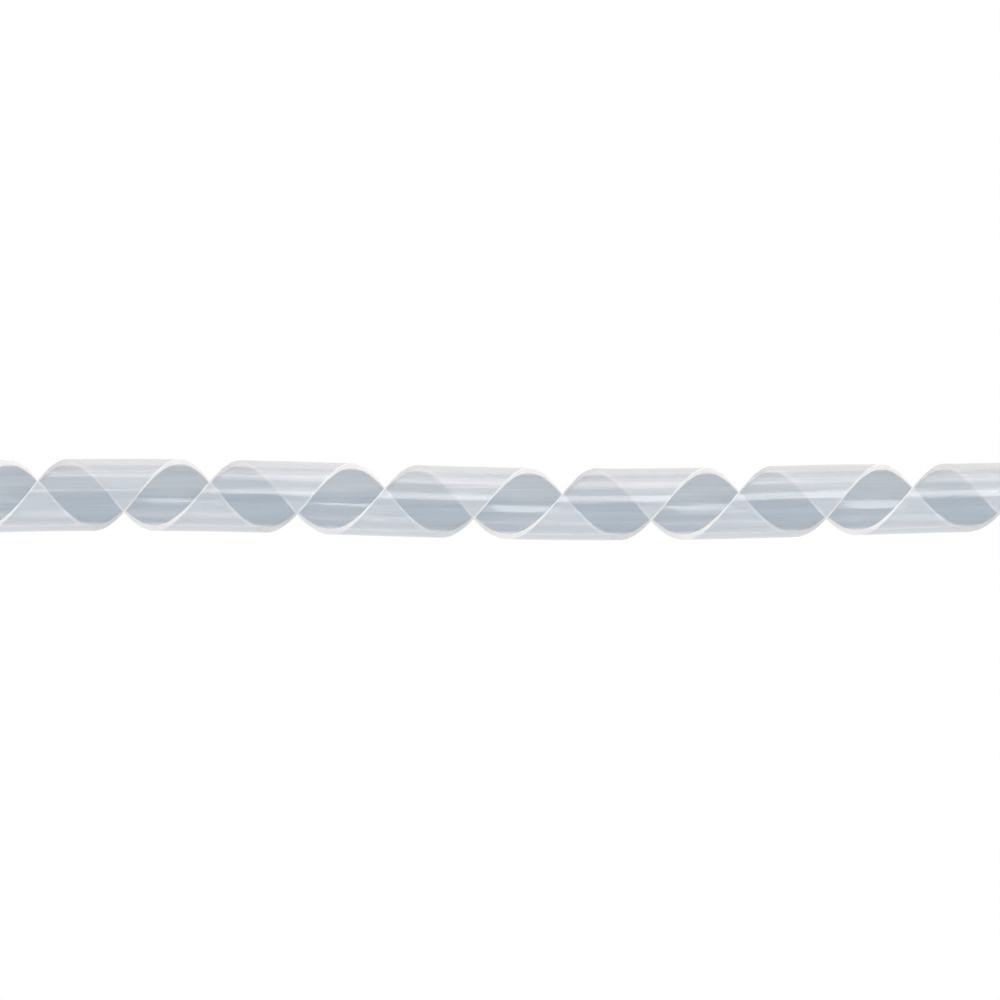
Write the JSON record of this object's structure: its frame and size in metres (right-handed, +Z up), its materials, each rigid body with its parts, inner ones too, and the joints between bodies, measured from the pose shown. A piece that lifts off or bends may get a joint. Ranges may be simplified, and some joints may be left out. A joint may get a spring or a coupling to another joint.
{
  "type": "tree guard tube",
  "caption": "Slit plastic tube that winds round a young tree's trunk as a long open spiral, cut square at both ends, to shield the bark.",
  "frame": {"origin": "on the floor that the tube lies on, under the middle of its box", "axes": "+X along the tube, +Z up from the floor, +Y to the side that the tube's axis first bows towards"},
  "size_m": [0.6, 0.0434, 0.038],
  "materials": {
    "guard_plastic": "translucent milky polyethylene, faint streaks along the tube, soft gloss"
  },
  "bodies": {
    "turn_1": {"turn_1": "guard_plastic"},
    "turn_2": {"turn_2": "guard_plastic"},
    "turn_3": {"turn_3": "guard_plastic"},
    "turn_4": {"turn_4": "guard_plastic"},
    "turn_5": {"turn_5": "guard_plastic"},
    "turn_6": {"turn_6": "guard_plastic"},
    "turn_7": {"turn_7": "guard_plastic"}
  },
  "joints": [
    {"name": "stretch", "type": "slide", "parent": "turn_1", "child": "turn_7", "axis": [1, 0, 0], "range_m": [-0.096, 0.12], "stiffness_N_per_m": 150},
    {"name": "stretch_turn_2", "type": "slide", "parent": "turn_1", "child": "turn_2", "axis": [1, 0, 0], "range_m": [-0.017, 0.021]},
    {"name": "stretch_turn_3", "type": "slide", "parent": "turn_1", "child": "turn_3", "axis": [1, 0, 0], "range_m": [-0.033, 0.041]},
    {"name": "stretch_turn_4", "type": "slide", "parent": "turn_1", "child": "turn_4", "axis": [1, 0, 0], "range_m": [-0.049, 0.061]},
    {"name": "stretch_turn_5", "type": "slide", "parent": "turn_1", "child": "turn_5", "axis": [1, 0, 0], "range_m": [-0.065, 0.081]},
    {"name": "stretch_turn_6", "type": "slide", "parent": "turn_1", "child": "turn_6", "axis": [1, 0, 0], "range_m": [-0.081, 0.101]}
  ],
  "couplings": [
    {"joint": "stretch_turn_2", "follows": "stretch", "ratio": 0.16667},
    {"joint": "stretch_turn_3", "follows": "stretch", "ratio": 0.33333},
    {"joint": "stretch_turn_4", "follows": "stretch", "ratio": 0.5},
    {"joint": "stretch_turn_5", "follows": "stretch", "ratio": 0.66667},
    {"joint": "stretch_turn_6", "follows": "stretch", "ratio": 0.83333}
  ]
}
